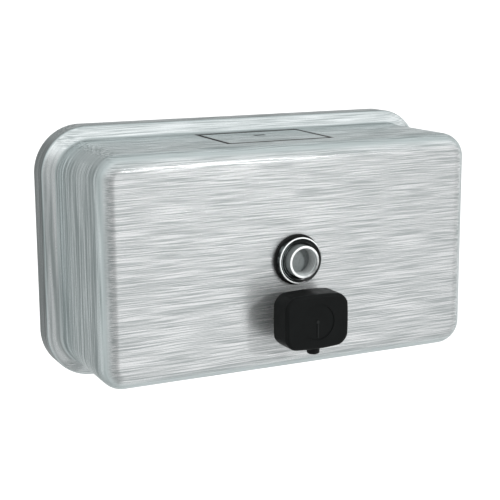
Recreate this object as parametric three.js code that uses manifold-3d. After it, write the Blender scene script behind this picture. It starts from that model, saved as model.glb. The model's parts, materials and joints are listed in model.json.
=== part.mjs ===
// Wall mounted soap dispenser: a drawn steel tank on a wall plate, with a hinged filler lid in its top,
// a sight window and a push button pump valve with its spout in its front.
// Millimetres. The origin is the centre of the wall face, +Z up, +Y into the wall, +X to the viewer's right.

import * as THREE from 'three';
import { mergeVertices } from 'three/addons/utils/BufferGeometryUtils.js';
import Module from 'manifold-3d';

const wasm = await Module();
wasm.setup();

// ---------------------------------------------------------------- driving dimensions

const gap = 0.3;                  // left between pieces that touch
const sheet = 1.0;                // stainless sheet of the tank
const bracketSheet = 1.2;         // galvanised sheet of the wall plate and the hangers

const rimWidth = 206;
const rimHeight = 120.65;
const rimDepth = 11.3;            // of the rim's side wall, out from the wall
const rimCorner = 22.7;
const rimEdgeRadius = 1.6;
const shoulderStep = 6.6;         // from the rim in to the root of the tank's side wall
const shoulderDepth = 3.9;
const shoulderFillet = 2.5;
const draft = 0.85;               // that each side wall leans in from root to front
const tankDepth = 68.6;           // wall to front face
const frontCorner = 11.5;
const frontFillet = 8.1;
const backPlateSetback = 1.7;     // rim's front edge to the back plate's front face
const cornerSteps = 7;
const filletSteps = 6;

const plateSideMargin = 33;       // rim's outside to the wall plate's sides
const plateTopMargin = 24.3;
const plateBottomMargin = 8.3;
const hookClearance = 0.9;        // wall plate's lip to the hanger in front of it
const hookRise = 6;
const screwHoleInset = 20;        // wall plate's sides to its screw holes
const screwHoleFromTop = 16;
const screwHoleFromBottom = 17;
const screwHoleRadius = 2.6;
const keyholeRadius = 5;
const keyholeDrop = 9;
const hangerWidth = 30;
const hangerInset = 22;           // wall plate's sides to the hangers' middles
const hangerHeight = 18;
const hangerTongue = 5;           // how far it reaches down behind the lip
const lockScrewRadius = 1.5;
const lockClearance = 0.5;        // round the lock nut, to the wall plate and the back plate
const lockNutHeight = 4;
const lockScrewTop = 2;           // above its nut

const lidWidth = 52.4;
const lidFrontSetback = 15.6;     // tank's front face to the lid's front edge
const lidGap = 1.1;               // round the lid's front and sides
const lidCorner = 1.2;
const openingMargin = 1.8;        // root of the tank's top to the filler opening's rear edge
const hingeSetback = 2.9;         // opening's rear edge to the hinge axis
const knuckleRadius = 2;
const hingePinRadius = 0.7;
const skirtDepth = 3;             // of the stiffening flange under the lid
const skirtInset = 3;
const skirtWall = 0.8;
const skirtSetback = 2;           // knuckle to the flange's rear ends
const slotLength = 6;
const slotWidth = 2.4;
const slotSetback = 11.1;         // hinge axis to the key slot
const frameSheet = 1.2;
const frameMargin = 4.5;          // under the tank's top, past the opening
const frameRearBar = 5.2;
const earLength = 2;
const earDrop = 4.4;
const catchWidth = 12;
const catchDrop = 3.2;
const catchClearance = 0.8;       // leaf's hook to the catch tab
const leafWidth = 10;
const leafSheet = 0.5;
const leafDrop = 2;               // lid's underside to the leaf
const clampFront = 8;             // hinge axis to the clamp's front
const clampLength = 4.5;
const clampWidth = 13;
const clampHeight = 3;
const clampScrewRadius = 1;
const clampScrewHead = 1.8;
const clampScrewHeadHeight = 1;
const clampRoof = 1.2;            // of the clamp over its blind screw holes

const windowGasketRadius = 11.9;
const gasketSheet = 1;
const bezelRadius = 10.9;
const bezelProud = 4.6;           // how far the bezel stands out of the panel
const bezelChamfer = 0.8;
const bezelSleeve = 9.2;
const lensRadius = 7.5;
const lensBore = 6.5;
const lensProud = 8.3;
const lensFloor = 2;
const lensInside = 8;             // how far it reaches past the panel into the tank
const nutWidth = 24;
const nutHeight = 5;
const nutSpacing = 1.4;           // between the window's nut and the valve's
const washerSheet = 1;

const valveRise = 19;             // lower edge of the flat front to the valve's axis
const cylinderRadius = 8;
const cylinderBore = 6;
const cylinderInside = 28.6;      // panel to the cylinder's rear end
const flangeStep = 1.8;           // from the cylinder's outside to the flange's
const flangeSheet = 1.8;
const glandHead = 1;
const glandLength = 5;
const stemRadius = 3;
const stemBore = 1.4;
const stemHole = 1.2;
const stemCap = 1.2;              // of the stem in front of its side hole
const stemInPiston = 2;
const pistonLength = 7.4;
const pistonLand = 0.9;           // from the stem's end to the piston's seal groove
const pistonSealHeight = 1.6;
const outletBallRadius = 1.6;
const outletSeat = 1.2;
const springWire = 0.4;
const springCoils = 3.5;
const spigotLength = 2.6;
const inletBore = 1.6;
const fittingLength = 9.5;
const chimneyRadius = 4.8;
const chimneyLength = 12;
const inletBallRadius = 1.8;
const inletSeat = 1.2;
const seatSheet = 1.2;            // thickness of the web that each ball's seat is in
const socketDepth = 4;            // of the pickup tube in its fitting
const tubeRadius = 2.9;
const tubeWall = 0.9;
const tubeFloorGap = 2.3;         // pickup tube's end to the tank's floor

const buttonWidth = 31.4;
const buttonHeight = 24.7;
const buttonProud = 21.1;         // panel to the button's front
const buttonDepth = 12.7;
const buttonCorner = 4.4;
const buttonFillet = 1.7;
const buttonBulge = 0.5;
const buttonWall = 1.5;
const buttonTravel = 7;
const bossRadius = 4.6;
const thumbRadius = 8.4;
const thumbDepth = 0.5;
const spoutSetback = 4.7;         // button's front to the spout's axis
const spoutRadius = 2.95;
const spoutBore = 1.9;
const spoutDrop = 3.25;           // how far the spout hangs below the button
const spoutSocket = 7;            // stem axis down to the top of the spout

const smallestFillet = 0.3;       // inside the button
const smallestCorner = 0.5;
const dropRadius = 4.4;           // of the button's inner column over its spout

const overcut = 1;                // that a cutting tool stands past what it cuts
const turnSteps = 20;
const fineSteps = 3;              // in a small corner's quarter turn
const buttonSteps = 4;            // across the button's front edge
const springSteps = 14;           // in a coil
const sealSteps = 8;
const ballColumns = 12;
const ballRows = 8;

// ---------------------------------------------------------------- worked out from them

const panelFront = -tankDepth;
const panelBack = panelFront + sheet;
const frontHalfWidth = rimWidth / 2 - shoulderStep - draft;
const frontHalfHeight = rimHeight / 2 - shoulderStep - draft;
const rootDepth = rimDepth + shoulderDepth;
const draftAngle = Math.atan(draft / (tankDepth - rootDepth));
const openingRear = rootDepth + openingMargin;
const lidFront = tankDepth - lidFrontSetback;
const hingeY = -openingRear - hingeSetback;
const lidReach = lidFront + hingeY;
const backPlateFront = -rimDepth + backPlateSetback;
const backPlateBack = backPlateFront + sheet;
const plateWidth = rimWidth - 2 * plateSideMargin;
const plateTop = rimHeight / 2 - plateTopMargin;
const plateBottom = -rimHeight / 2 + plateBottomMargin;
const valveZ = -frontHalfHeight + frontFillet + valveRise;
const flangeRadius = cylinderRadius + flangeStep;
const windowZ = valveZ + Math.max(nutWidth, windowGasketRadius + flangeRadius) + nutSpacing;
const washerRadius = nutWidth / 2;
const sealRadius = (cylinderBore - stemRadius) / 2 - gap;
const springRadius = cylinderBore - 3 * gap - springWire;
const lockNutWidth = -backPlateBack - bracketSheet - 2 * lockClearance;
const lockScrewY = (backPlateBack - bracketSheet) / 2;
const cylinderEnd = panelFront + cylinderInside;
const tubeEndZ = -frontHalfHeight + sheet + tubeFloorGap;
const buttonFront = panelFront - buttonProud;
const buttonBack = buttonFront + buttonDepth;
const spoutY = buttonFront + spoutSetback;
const spoutEndZ = valveZ - buttonHeight / 2 - spoutDrop;

// ---------------------------------------------------------------- shape helpers

// A closed three.js geometry as a solid that can be joined and cut.
function solid(geometry) {
  const bare = geometry.clone();
  bare.deleteAttribute('normal');
  bare.deleteAttribute('uv');
  const merged = mergeVertices(bare, 1e-4);
  const corners = merged.index.array;
  const triVerts = [];
  for (let i = 0; i < corners.length; i += 3) {
    const [a, b, c] = [corners[i], corners[i + 1], corners[i + 2]];
    if (a !== b && b !== c && c !== a) triVerts.push(a, b, c);
  }
  return new wasm.Manifold(new wasm.Mesh({
    numProp: 3,
    vertProperties: Float32Array.from(merged.attributes.position.array),
    triVerts: Uint32Array.from(triVerts),
  }));
}

function geometryOf(body) {
  const mesh = body.getMesh();
  const geometry = new THREE.BufferGeometry();
  geometry.setAttribute('position', new THREE.BufferAttribute(mesh.vertProperties, 3));
  geometry.setIndex(new THREE.BufferAttribute(mesh.triVerts, 1));
  geometry.computeVertexNormals();
  return geometry;
}

function join(...bodies) {
  return bodies.reduce((whole, body) => whole.add(body));
}

function cut(body, ...tools) {
  return tools.reduce((left, tool) => left.subtract(tool), body);
}

// A block between two opposite corners.
function block([x0, y0, z0], [x1, y1, z1]) {
  const geometry = new THREE.BoxGeometry(x1 - x0, y1 - y0, z1 - z0);
  geometry.translate((x0 + x1) / 2, (y0 + y1) / 2, (z0 + z1) / 2);
  return solid(geometry);
}

// Turned about the Y axis, from [radius, y] points that start and end on the axis or close on themselves.
function turnedGeometry(points, steps = turnSteps) {
  return new THREE.LatheGeometry(points.map(([r, y]) => new THREE.Vector2(r, y)), steps);
}

function turned(points, z = 0, steps = turnSteps) {
  return solid(turnedGeometry(points, steps).translate(0, 0, z));
}

// Rings and rods on an axis along Y, between two Y values.
function ringPoints(inner, outer, y0, y1) {
  return [[inner, y0], [outer, y0], [outer, y1], [inner, y1], [inner, y0]];
}

function rodPoints(radius, y0, y1) {
  return [[0, y0], [radius, y0], [radius, y1], [0, y1]];
}

function rodAlongY(radius, y0, y1, z) {
  return turned(rodPoints(radius, y0, y1), z);
}

function rodAlongX(radius, x0, x1, y, z) {
  const geometry = turnedGeometry(rodPoints(radius, x0, x1)).rotateZ(-Math.PI / 2);
  return solid(geometry.translate(0, y, z));
}

function rodAlongZ(radius, z0, z1, x, y) {
  const geometry = turnedGeometry(rodPoints(radius, z0, z1)).rotateX(Math.PI / 2);
  return solid(geometry.translate(x, y, 0));
}

// A plate of an outline drawn in X and Z, between two Y values.
function plateAlongY(shape, y0, y1) {
  const options = { depth: y1 - y0, bevelEnabled: false, curveSegments: cornerSteps };
  const geometry = new THREE.ExtrudeGeometry(shape, options);
  return solid(geometry.rotateX(Math.PI / 2).translate(0, y1, 0));
}

// A strip whose profile is drawn as [y, z] points, running from x0 to x1.
function stripAlongX(points, x0, x1) {
  const shape = new THREE.Shape(points.map(([y, z]) => new THREE.Vector2(y, z)));
  const geometry = new THREE.ExtrudeGeometry(shape, { depth: x1 - x0, bevelEnabled: false });
  // extruded along +Z from a drawing in X and Y, so X, Y, Z become Y, Z, X
  const axes = new THREE.Matrix4().set(
    0, 0, 1, x0,
    1, 0, 0, 0,
    0, 1, 0, 0,
    0, 0, 0, 1,
  );
  return solid(geometry.applyMatrix4(axes));
}

function roundedRectangle(halfWidth, halfHeight, radius, shape = new THREE.Shape()) {
  const [x, z] = [halfWidth - radius, halfHeight - radius];
  shape.absarc(x, z, radius, 0, Math.PI / 2);
  shape.absarc(-x, z, radius, Math.PI / 2, Math.PI);
  shape.absarc(-x, -z, radius, Math.PI, 1.5 * Math.PI);
  shape.absarc(x, -z, radius, 1.5 * Math.PI, 2 * Math.PI);
  return shape;
}

// One closed ring of points at a depth y: a rounded rectangle, its sides bulged out a little if asked.
function outlineRing(halfWidth, halfHeight, radius, y, bulge = 0) {
  const ring = [];
  for (let corner = 0; corner < 4; corner++) {
    const sideX = corner === 0 || corner === 3 ? 1 : -1;
    const sideZ = corner < 2 ? 1 : -1;
    for (let step = 0; step <= cornerSteps; step++) {
      const angle = (corner + step / cornerSteps) * Math.PI / 2;
      const x = sideX * (halfWidth - radius) + radius * Math.cos(angle);
      const z = sideZ * (halfHeight - radius) + radius * Math.sin(angle);
      ring.push(new THREE.Vector3(x, y, z));
    }
    if (bulge > 0) {
      const middle = (corner + 1) * Math.PI / 2;
      const x = Math.cos(middle) * (halfWidth + bulge);
      const z = Math.sin(middle) * (halfHeight + bulge);
      ring.push(new THREE.Vector3(x, y, z));
    }
  }
  return ring;
}

// A closed skin over rings that run from front to back, each with the same number of points.
function skin(rings) {
  const count = rings[0].length;
  const positions = rings.flat().flatMap((point) => point.toArray());
  const index = [];
  for (let i = 0; i < rings.length - 1; i++) {
    for (let j = 0; j < count; j++) {
      const [a, b] = [i * count + j, i * count + (j + 1) % count];
      const [c, d] = [a + count, b + count];
      index.push(a, c, b, b, c, d);
    }
  }
  for (const [ring, turn] of [[rings[0], 1], [rings[rings.length - 1], -1]]) {
    const start = turn > 0 ? 0 : (rings.length - 1) * count;
    const middle = positions.length / 3;
    positions.push(0, ring[0].y, (ring[0].z + ring[Math.round(count / 2)].z) / 2);
    for (let j = 0; j < count; j++) {
      const [a, b] = [start + j, start + (j + 1) % count];
      index.push(...(turn > 0 ? [middle, a, b] : [middle, b, a]));
    }
  }
  const geometry = new THREE.BufferGeometry();
  geometry.setAttribute('position', new THREE.Float32BufferAttribute(positions, 3));
  geometry.setIndex(index);
  return solid(geometry);
}

// A path of [out, y] corners with rounded turns, as points that carry their outward normals.
function roundedPath(corners) {
  const path = [];
  for (let i = 1; i < corners.length - 1; i++) {
    const here = new THREE.Vector2(corners[i][0], corners[i][1]);
    const before = new THREE.Vector2(corners[i - 1][0], corners[i - 1][1]).sub(here).normalize();
    const after = new THREE.Vector2(corners[i + 1][0], corners[i + 1][1]).sub(here).normalize();
    const radius = corners[i][2];
    const half = before.angleTo(after) / 2;
    const centre = before.clone().add(after).normalize().multiplyScalar(radius / Math.sin(half)).add(here);
    const start = before.clone().multiplyScalar(radius / Math.tan(half)).add(here).sub(centre);
    const end = after.clone().multiplyScalar(radius / Math.tan(half)).add(here).sub(centre);
    const convex = start.cross(end) > 0 ? 1 : -1;
    const steps = Math.max(2, Math.ceil(filletSteps * (Math.PI - 2 * half) / (Math.PI / 2)));
    const sweep = convex * (Math.PI - 2 * half);
    for (let step = 0; step <= steps; step++) {
      const arm = start.clone().rotateAround(new THREE.Vector2(), sweep * step / steps);
      path.push({ point: arm.clone().add(centre), normal: arm.normalize().multiplyScalar(convex) });
    }
  }
  const last = corners[corners.length - 1];
  path.push({ point: new THREE.Vector2(last[0], last[1]), normal: path[path.length - 1].normal.clone() });
  return path;
}

function material(color, roughness, metalness, extra = {}) {
  return new THREE.MeshStandardMaterial({ color, roughness, metalness, ...extra });
}

const brushedSteel = () => material(0xb9bdba, 0.38, 1);
const galvanised = () => material(0xa3a8a8, 0.55, 0.9);
const brightSteel = () => material(0xc6c8ca, 0.25, 1);
const blackPlastic = () => material(0x121314, 0.5, 0);
const glossBlack = () => material(0x16181a, 0.2, 0);
const clearPlastic = () => material(0x9aa3a3, 0.1, 0, { transparent: true, opacity: 0.5 });
const naturalPlastic = () => material(0xd8d6cc, 0.5, 0);
const softRubber = () => material(0x1c1c1c, 0.8, 0);

const dispenser = new THREE.Group();

function place(name, body, look, parent = dispenser) {
  const mesh = new THREE.Mesh(body.isBufferGeometry ? body : geometryOf(body), look);
  mesh.name = name;
  parent.add(mesh);
  return mesh;
}

// ---------------------------------------------------------------- tank

// The tank's skin at a distance inside its outer face, as rings from the front edge back to the wall.
function tankRings(inward) {
  const rootOut = draft;
  const rimOut = draft + shoulderStep;
  const path = roundedPath([
    [-frontFillet * 2, -tankDepth],
    [0, -tankDepth, frontFillet],
    [rootOut, -rootDepth, shoulderFillet],
    [rimOut, -rimDepth, rimEdgeRadius],
    [rimOut, 0],
  ]);
  const cornerGrowth = rimCorner - rimOut - frontCorner;
  const wallStart = -tankDepth + frontFillet;
  return path.map(({ point, normal }) => {
    const share = THREE.MathUtils.clamp((point.y - wallStart) / (-rootDepth - wallStart), 0, 1);
    const out = point.x - normal.x * inward;
    const y = point.y === 0 ? 0 : point.y - normal.y * inward;
    const radius = frontCorner + out + cornerGrowth * share;
    return outlineRing(frontHalfWidth + out, frontHalfHeight + out, radius, y);
  });
}

function tankTop(y) {
  return frontHalfHeight + draft * (y + tankDepth) / (tankDepth - rootDepth);
}

function fillerOpening() {
  const halfWidth = lidWidth / 2 + lidGap;
  return block([-halfWidth, -lidFront - lidGap, frontHalfHeight / 2], [halfWidth, -openingRear, rimHeight]);
}

function tankShell() {
  const shell = skin([...tankRings(0), ...tankRings(sheet).reverse()]);
  const windowHole = rodAlongY(bezelSleeve + gap, panelFront - sheet, panelBack + sheet, windowZ);
  const valveHole = rodAlongY(cylinderRadius + gap, panelFront - sheet, panelBack + sheet, valveZ);
  const lockHole = rodAlongZ(lockScrewRadius + gap, -rimHeight, plateBottom, 0, lockScrewY);
  return cut(shell, windowHole, valveHole, lockHole, fillerOpening());
}

function backPlate() {
  const inset = sheet + gap;
  const outline = roundedRectangle(rimWidth / 2 - inset, rimHeight / 2 - inset, rimCorner - inset);
  return plateAlongY(outline, backPlateFront, backPlateBack);
}

// ---------------------------------------------------------------- wall plate and hangers

const hangerFront = backPlateBack + gap;
const lipFront = hangerFront + bracketSheet + hookClearance;
const lipBack = lipFront + bracketSheet;
const lipTop = plateTop + hookRise;

function wallPlate() {
  const half = plateWidth / 2;
  const flangeReach = lockScrewY - lockNutWidth / 2;
  const plate = stripAlongX([
    [0, plateBottom],
    [0, plateTop],
    [lipBack, plateTop],
    [lipBack, lipTop],
    [lipFront, lipTop],
    [lipFront, plateTop - bracketSheet],
    [-bracketSheet, plateTop - bracketSheet],
    [-bracketSheet, plateBottom + bracketSheet],
    [flangeReach, plateBottom + bracketSheet],
    [flangeReach, plateBottom],
  ], -half, half);
  const [outside, inside] = [-bracketSheet - overcut, overcut];
  const flangeTop = plateBottom + bracketSheet + overcut;
  const holes = [rodAlongZ(lockScrewRadius + gap, plateBottom - overcut, flangeTop, 0, lockScrewY)];
  for (const x of [-half + screwHoleInset, half - screwHoleInset]) {
    for (const z of [plateTop - screwHoleFromTop, plateBottom + screwHoleFromBottom]) {
      holes.push(rodAlongY(screwHoleRadius, outside, inside, z).translate([x, 0, 0]));
      holes.push(rodAlongY(keyholeRadius, outside, inside, z - keyholeDrop).translate([x, 0, 0]));
      holes.push(block([x - screwHoleRadius, outside, z - keyholeDrop], [x + screwHoleRadius, inside, z]));
    }
  }
  return cut(plate, ...holes);
}

// Flat on the tank's back, over the wall plate's lip and down behind it.
function hanger(side) {
  const x = side * (plateWidth / 2 - hangerInset);
  const tongueFront = lipBack + 2 * gap;
  const saddle = lipTop + gap;
  return stripAlongX([
    [hangerFront, saddle - hangerHeight],
    [hangerFront, saddle + bracketSheet],
    [tongueFront + bracketSheet, saddle + bracketSheet],
    [tongueFront + bracketSheet, saddle - hangerTongue],
    [tongueFront, saddle - hangerTongue],
    [tongueFront, saddle],
    [hangerFront + bracketSheet, saddle],
    [hangerFront + bracketSheet, saddle - hangerHeight],
  ], x - hangerWidth / 2, x + hangerWidth / 2);
}

function hexagonNut(width, bore, y0, y1, z) {
  const corner = width / 2 / Math.cos(Math.PI / 6);
  const outline = new THREE.Shape();
  for (let i = 0; i < 6; i++) {
    const angle = i * Math.PI / 3;
    const [x, up] = [corner * Math.cos(angle), corner * Math.sin(angle)];
    if (i === 0) outline.moveTo(x, up);
    else outline.lineTo(x, up);
  }
  const prism = plateAlongY(outline, y0, y1).translate([0, 0, z]);
  return cut(prism, rodAlongY(bore, y0 - overcut, y1 + overcut, z));
}

function lockNut() {
  const z = plateBottom + bracketSheet + gap;
  const upright = hexagonNut(lockNutWidth, lockScrewRadius + gap, 0, lockNutHeight, 0);
  return upright.rotate([90, 0, 0]).translate([0, lockScrewY, z]);
}

function lockScrew() {
  const bottom = -rimHeight / 2 + gap;
  const top = plateBottom + bracketSheet + lockNutHeight + lockScrewTop;
  return rodAlongZ(lockScrewRadius, bottom, top, 0, lockScrewY);
}

place('wall_plate', wallPlate(), galvanised());
place('lock_nut', lockNut(), galvanised());
place('lock_screw', lockScrew(), brightSteel());
place('hanger_left', hanger(-1), galvanised());
place('hanger_right', hanger(1), galvanised());
place('tank_shell', tankShell(), brushedSteel());
place('back_plate', backPlate(), brushedSteel());

// ---------------------------------------------------------------- filler lid, its frame and its latch

// Everything here lies in the plane of the tank's top, so it is drawn from the hinge line: y = 0 is the
// hinge, z = 0 is the top surface, and the lid runs towards -Y.
const filler = new THREE.Group();
filler.position.set(0, hingeY, tankTop(hingeY));
filler.rotation.x = draftAngle;
dispenser.add(filler);

const lidHalf = lidWidth / 2;
const hingeZ = -knuckleRadius;
const skirtHalf = lidHalf - skirtInset;
const skirtRear = -knuckleRadius - skirtSetback;
const skirtFront = -lidReach + skirtInset;
const ledgeHalf = skirtHalf + gap;
const ledgeFront = skirtFront - gap;
const frameTop = -sheet - gap;
const frameBottom = frameTop - frameSheet;
const earX = lidHalf + lidGap + gap;
const leafTop = -sheet - leafDrop;

// A flange down the lid's sides and across its front; the knuckle stiffens the rear.
function lidSkirt() {
  const outer = block([-skirtHalf, skirtFront, -sheet - skirtDepth], [skirtHalf, skirtRear, -sheet / 2]);
  const inner = block(
    [-skirtHalf + skirtWall, skirtFront + skirtWall, -sheet - skirtDepth - overcut],
    [skirtHalf - skirtWall, skirtRear + overcut, 0],
  );
  return cut(outer, inner);
}

function fillerLid() {
  const outline = roundedRectangle(lidHalf, lidReach / 2, lidCorner);
  const options = { depth: sheet, bevelEnabled: false, curveSegments: fineSteps };
  const plate = new THREE.ExtrudeGeometry(outline, options);
  const leaf = solid(plate.translate(0, -lidReach / 2, -sheet));
  const rearEdge = block([-lidHalf, -lidCorner * 2, -sheet], [lidHalf, 0, 0]);
  const knuckle = rodAlongX(knuckleRadius, -lidHalf, lidHalf, 0, hingeZ);
  const bore = rodAlongX(hingePinRadius + gap, -lidHalf - overcut, lidHalf + overcut, 0, hingeZ);
  const slot = block(
    [-slotLength / 2, -slotSetback - slotWidth / 2, -sheet - overcut],
    [slotLength / 2, -slotSetback + slotWidth / 2, overcut],
  );
  return cut(join(leaf, rearEdge, knuckle, lidSkirt()), bore, slot);
}

function hingePin() {
  const half = earX + earLength;
  return rodAlongX(hingePinRadius, -half, half, 0, hingeZ);
}

function fillerFrame() {
  const halfWidth = lidHalf + lidGap + frameMargin;
  const front = -lidReach - lidGap - frameMargin;
  const plate = block([-halfWidth, front, frameBottom], [halfWidth, frameRearBar, frameTop]);
  const below = frameBottom - overcut;
  const mouth = block([-ledgeHalf, ledgeFront, below], [ledgeHalf, skirtRear + gap, 0]);
  const channel = block([-earX, skirtRear, below], [earX, knuckleRadius + gap, 0]);
  const catchTab = block(
    [-catchWidth / 2, ledgeFront - frameSheet, frameBottom - catchDrop],
    [catchWidth / 2, ledgeFront, frameTop],
  );
  const ears = [-1, 1].map((side) => {
    const [inside, outside] = [earX, earX + earLength].map((x) => side * x).sort((a, b) => a - b);
    return block([inside, -knuckleRadius - gap, -earDrop], [outside, knuckleRadius + gap, frameTop]);
  });
  const bore = hingePinRadius + gap;
  const past = halfWidth + overcut;
  const cradle = rodAlongX(bore, -past, past, 0, hingeZ);
  const mouthOfCradle = block([-past, -bore, hingeZ], [past, bore, 0]);
  return cut(join(cut(plate, mouth, channel), catchTab, ...ears), cradle, mouthOfCradle);
}

function latchClamp() {
  const body = block(
    [-clampWidth / 2, -clampFront, -sheet - gap - clampHeight],
    [clampWidth / 2, -clampFront + clampLength, -sheet - gap],
  );
  const holes = [-1, 1].map((side) => rodAlongZ(
    clampScrewRadius + gap,
    -sheet - clampHeight - overcut,
    -sheet - clampRoof,
    side * clampWidth / 4,
    -clampFront + clampLength / 2,
  ));
  return cut(body, ...holes);
}

function latchScrew(side) {
  const headTop = -sheet - 2 * gap - clampHeight;
  const headBottom = headTop - clampScrewHeadHeight;
  const [x, y] = [side * clampWidth / 4, -clampFront + clampLength / 2];
  const shank = rodAlongZ(clampScrewRadius, headBottom, headTop + clampHeight - clampRoof, x, y);
  return join(shank, rodAlongZ(clampScrewHead, headBottom, headTop, x, y));
}

// A flat spring leaf under the key slot, its end bent down beside the frame's catch tab.
function latchLeaf() {
  const root = -clampFront - gap;
  const hookTip = ledgeFront + catchClearance;
  const leg = hookTip + leafSheet * 3;
  const foot = frameBottom - catchDrop - gap;
  return stripAlongX([
    [root, leafTop],
    [leg - leafSheet, leafTop],
    [leg - leafSheet, foot],
    [hookTip, foot],
    [hookTip, foot - leafSheet],
    [leg, foot - leafSheet],
    [leg, leafTop - leafSheet],
    [root, leafTop - leafSheet],
  ], -leafWidth / 2, leafWidth / 2);
}

place('filler_frame', fillerFrame(), brushedSteel(), filler);
place('lid_hinge_pin', hingePin(), brightSteel(), filler);
place('filler_lid', fillerLid(), brushedSteel(), filler);
place('latch_clamp', latchClamp(), brightSteel(), filler);
place('latch_screw_left', latchScrew(-1), brightSteel(), filler);
place('latch_screw_right', latchScrew(1), brightSteel(), filler);
place('latch_leaf', latchLeaf(), brightSteel(), filler);

// ---------------------------------------------------------------- sight window

const gasketFront = panelFront - gap - gasketSheet;
const bezelBack = gasketFront - gap;
const bezelFront = panelFront - bezelProud;
const lensFront = panelFront - lensProud;
const washerFront = panelBack + gap;
const nutFront = washerFront + washerSheet + gap;

function flatRing(inner, outer, y0, y1, z) {
  return turned(ringPoints(inner, outer, y0, y1), z);
}

function windowBezel() {
  const sleeveEnd = nutFront + nutHeight + gap;
  return turned([
    [lensRadius + gap, bezelFront],
    [bezelRadius - bezelChamfer, bezelFront],
    [bezelRadius, bezelFront + bezelChamfer],
    [bezelRadius, bezelBack],
    [bezelSleeve, bezelBack],
    [bezelSleeve, sleeveEnd],
    [lensRadius + gap, sleeveEnd],
    [lensRadius + gap, bezelFront],
  ], windowZ);
}

// A clear cup, open to the front, with its floor at the panel; behind the floor it is hollow to the soap.
function windowLens() {
  const floorFront = panelFront - lensFloor / 2;
  const end = panelBack + lensInside;
  return turned([
    [0, floorFront],
    [lensBore, floorFront],
    [lensBore, lensFront],
    [lensRadius, lensFront],
    [lensRadius, end],
    [lensBore, end],
    [lensBore, floorFront + lensFloor],
    [0, floorFront + lensFloor],
  ], windowZ);
}

const windowHole = bezelSleeve + gap;
const windowGasket = flatRing(windowHole, windowGasketRadius, gasketFront, panelFront - gap, windowZ);
const windowWasher = flatRing(windowHole, washerRadius, washerFront, washerFront + washerSheet, windowZ);
const windowNut = hexagonNut(nutWidth, windowHole, nutFront, nutFront + nutHeight, windowZ);

place('window_gasket', windowGasket, softRubber());
place('window_bezel', windowBezel(), glossBlack());
place('window_lens', windowLens(), clearPlastic());
place('window_washer', windowWasher, brightSteel());
place('window_nut', windowNut, glossBlack());

// ---------------------------------------------------------------- pump valve, fixed half

const flangeFront = bezelBack - flangeSheet;
const glandFront = flangeFront - gap - glandHead;
const glandBack = flangeFront + glandLength;
const sealY = glandBack + gap + sealRadius;
const pistonFront = sealY + sealRadius + gap;
const pistonBack = pistonFront + pistonLength;
const seatY = pistonBack - seatSheet;
const stemEnd = pistonFront + stemInPiston;
const spigotFace = cylinderEnd - spigotLength;
const fittingFront = cylinderEnd + gap;
const fittingEnd = fittingFront + fittingLength;
const chimneyY = (fittingFront + fittingEnd) / 2;
const chimneyEnd = valveZ - chimneyLength;
const inletSeatZ = chimneyEnd + socketDepth + seatSheet;

function valveCylinder() {
  return turned([
    [cylinderBore, flangeFront],
    [flangeRadius, flangeFront],
    [flangeRadius, bezelBack],
    [cylinderRadius, bezelBack],
    [cylinderRadius, cylinderEnd],
    [cylinderBore, cylinderEnd],
    [cylinderBore, flangeFront],
  ], valveZ);
}

function glandCap() {
  const bore = stemRadius + gap;
  return turned([
    [bore, glandFront],
    [cylinderRadius - gap, glandFront],
    [cylinderRadius - gap, glandFront + glandHead],
    [cylinderBore - gap, glandFront + glandHead],
    [cylinderBore - gap, glandBack],
    [bore, glandBack],
    [bore, glandFront],
  ], valveZ);
}

function stemSeal() {
  const geometry = new THREE.TorusGeometry(stemRadius + gap + sealRadius, sealRadius, sealSteps, turnSteps);
  return solid(geometry.rotateX(Math.PI / 2).translate(0, sealY, valveZ));
}

// Closes the cylinder's rear, turns the inlet down and holds the pickup tube and the inlet ball's seat.
function inletFitting() {
  const spigot = rodAlongY(cylinderBore - gap, spigotFace, fittingFront + gap, valveZ);
  const barrel = rodAlongY(cylinderRadius, fittingFront, fittingEnd, valveZ);
  const chimney = rodAlongZ(chimneyRadius, chimneyEnd, valveZ, 0, chimneyY);
  const inlet = rodAlongY(inletBore, spigotFace - overcut, chimneyY, valveZ);
  const chamber = rodAlongZ(inletBallRadius + 2 * gap, inletSeatZ, valveZ, 0, chimneyY);
  const seat = rodAlongZ(inletSeat, chimneyEnd, inletSeatZ + overcut, 0, chimneyY);
  const socket = rodAlongZ(tubeRadius + gap, chimneyEnd - overcut, chimneyEnd + socketDepth, 0, chimneyY);
  return cut(join(spigot, barrel, chimney), inlet, chamber, seat, socket);
}

function pickupTube() {
  const top = chimneyEnd + socketDepth - gap;
  const outside = rodAlongZ(tubeRadius, tubeEndZ, top, 0, chimneyY);
  const inside = rodAlongZ(tubeRadius - tubeWall, tubeEndZ - overcut, top + overcut, 0, chimneyY);
  return cut(outside, inside);
}

function ball(radius, y, z) {
  return solid(new THREE.SphereGeometry(radius, ballColumns, ballRows).translate(0, y, z));
}

// Height of a ball's centre over the plane of the round seat that it rests in, a gap above it.
function ballRise(radius, seat) {
  return Math.sqrt((radius + gap) ** 2 - seat ** 2);
}

const valveHole = cylinderRadius + gap;
const valveGasket = flatRing(valveHole, flangeRadius, gasketFront, panelFront - gap, valveZ);
const valveWasher = flatRing(valveHole, washerRadius, washerFront, washerFront + washerSheet, valveZ);
const valveNut = hexagonNut(nutWidth, valveHole, nutFront, nutFront + nutHeight, valveZ);
const inletBallZ = inletSeatZ + ballRise(inletBallRadius, inletSeat);

place('valve_gasket', valveGasket, softRubber());
place('valve_cylinder', valveCylinder(), naturalPlastic());
place('valve_washer', valveWasher, brightSteel());
place('valve_nut', valveNut, glossBlack());
place('gland_cap', glandCap(), blackPlastic());
place('stem_seal', stemSeal(), softRubber());
place('inlet_fitting', inletFitting(), naturalPlastic());
place('pickup_tube', pickupTube(), naturalPlastic());
place('inlet_ball', ball(inletBallRadius, chimneyY, inletBallZ), brightSteel());

// ---------------------------------------------------------------- push button and what moves with it

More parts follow.
